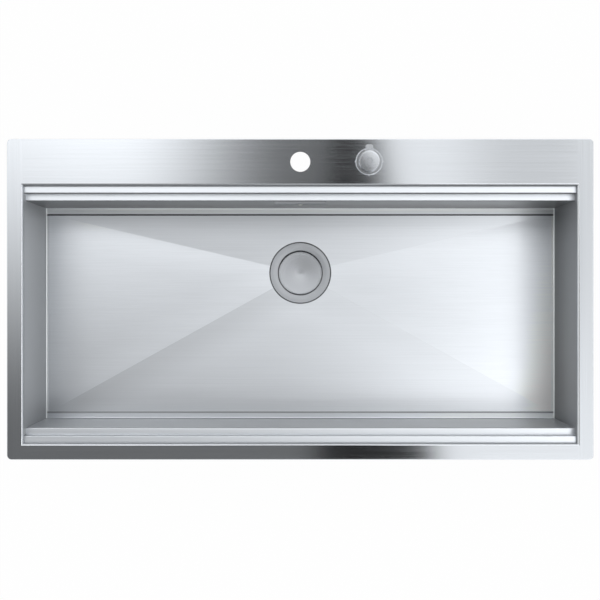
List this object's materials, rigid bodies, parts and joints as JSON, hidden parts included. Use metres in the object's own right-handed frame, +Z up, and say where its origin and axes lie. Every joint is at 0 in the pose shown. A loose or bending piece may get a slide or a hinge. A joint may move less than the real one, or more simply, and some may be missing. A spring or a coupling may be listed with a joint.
{
  "type": "kitchen sink with rotary pop-up waste",
  "caption": "Rectangular inset steel kitchen sink with stepped ledges, sloped floor, tap hole, rotary knob that lifts a basket strainer, and a screened overflow.",
  "frame": {"origin": "middle of the deck's rectangular outline, in the plane of the worktop's top face, where the rim rests", "axes": "+X to the right along the long side, +Y towards the tap strip at the rear, +Z up out of the worktop"},
  "size_m": [1.024, 0.56, 0.3436],
  "materials": {
    "steel_sheet": "fine straight brushing",
    "steel_bright": "bright pressed steel",
    "knob_chrome": "satin chrome",
    "steel_plain": "plain",
    "rubber_dark": "matt",
    "foam": "closed-cell foam",
    "plastic_white": "moulded",
    "plastic_grey": "moulded",
    "hose_plastic": "soft corrugated",
    "cable_sheath": "smooth sheath"
  },
  "bodies": {
    "sink": {"deck": "steel_sheet", "bowl_trough": "steel_sheet", "end_wall_left": "steel_sheet", "end_wall_right": "steel_sheet", "waste_flange": "steel_bright", "overflow_cover": "steel_bright", "overflow_screw": "steel_bright", "waste_screws": "steel_bright", "knob_base": "knob_chrome", "clamp_anchors": "steel_plain", "clamps": "steel_plain", "clamp_screws": "steel_plain", "tap_hole_plate": "steel_plain", "hose_clamps": "steel_plain", "cover_screws": "steel_plain", "rocker_pin": "steel_plain", "cable_ferrules": "steel_plain", "flange_seal": "rubber_dark", "pot_gasket": "rubber_dark", "lever_seal": "rubber_dark", "knob_gasket": "rubber_dark", "overflow_gasket": "rubber_dark", "floor_pads": "rubber_dark", "end_pads": "rubber_dark", "rim_seal": "foam", "waste_pot": "plastic_white", "overflow_housing": "plastic_white", "lever_cover": "plastic_white", "locknut_washer": "plastic_grey", "locknut": "plastic_grey", "drive_housing": "plastic_grey", "drive_lid": "plastic_grey", "cable_clip": "plastic_grey", "overflow_hose": "hose_plastic", "cable": "cable_sheath"},
    "knob": {"knob_cap": "knob_chrome", "grub_screw": "steel_plain", "knob_spindle": "steel_plain", "eccentric": "plastic_grey"},
    "yoke": {"yoke": "plastic_grey", "drive_wire": "steel_plain"},
    "pull_wire": {"pull_wire": "steel_plain"},
    "rocker": {"rocker": "plastic_white"},
    "lift_pin": {"lift_pin": "steel_plain"},
    "strainer": {"strainer_cap": "steel_bright", "strainer_seal": "rubber_dark", "seal_retainer": "plastic_white", "strainer_stem": "steel_plain", "strainer_basket": "steel_bright"}
  },
  "joints": [
    {"name": "knob_turn", "type": "hinge", "parent": "sink", "child": "knob", "pos_m": [0.12, 0.24, 0], "axis": [0, 0, -1], "range_deg": [0, 90]},
    {"name": "yoke_slide", "type": "slide", "parent": "sink", "child": "yoke", "axis": [-1, 0, 0], "range_m": [0, 0.00528]},
    {"name": "wire_pull", "type": "slide", "parent": "sink", "child": "pull_wire", "axis": [1, 0, 0], "range_m": [0, 0.00528]},
    {"name": "rocker_tilt", "type": "hinge", "parent": "sink", "child": "rocker", "pos_m": [0.058, 0.0505, -0.2686], "axis": [0, 1, 0], "range_deg": [0, 8.93]},
    {"name": "pin_lift", "type": "slide", "parent": "sink", "child": "lift_pin", "axis": [0, 0, 1], "range_m": [0, 0.00901]},
    {"name": "strainer_lift_out", "type": "slide", "parent": "lift_pin", "child": "strainer", "axis": [0, 0, 1], "range_m": [0, 0.28]}
  ],
  "couplings": [
    {"joint": "yoke_slide", "follows": "knob_turn", "m_per_rad": 0.0033587},
    {"joint": "wire_pull", "follows": "knob_turn", "m_per_rad": 0.0033587},
    {"joint": "rocker_tilt", "follows": "knob_turn", "ratio": 0.099187},
    {"joint": "pin_lift", "follows": "knob_turn", "m_per_rad": 0.0057296}
  ]
}
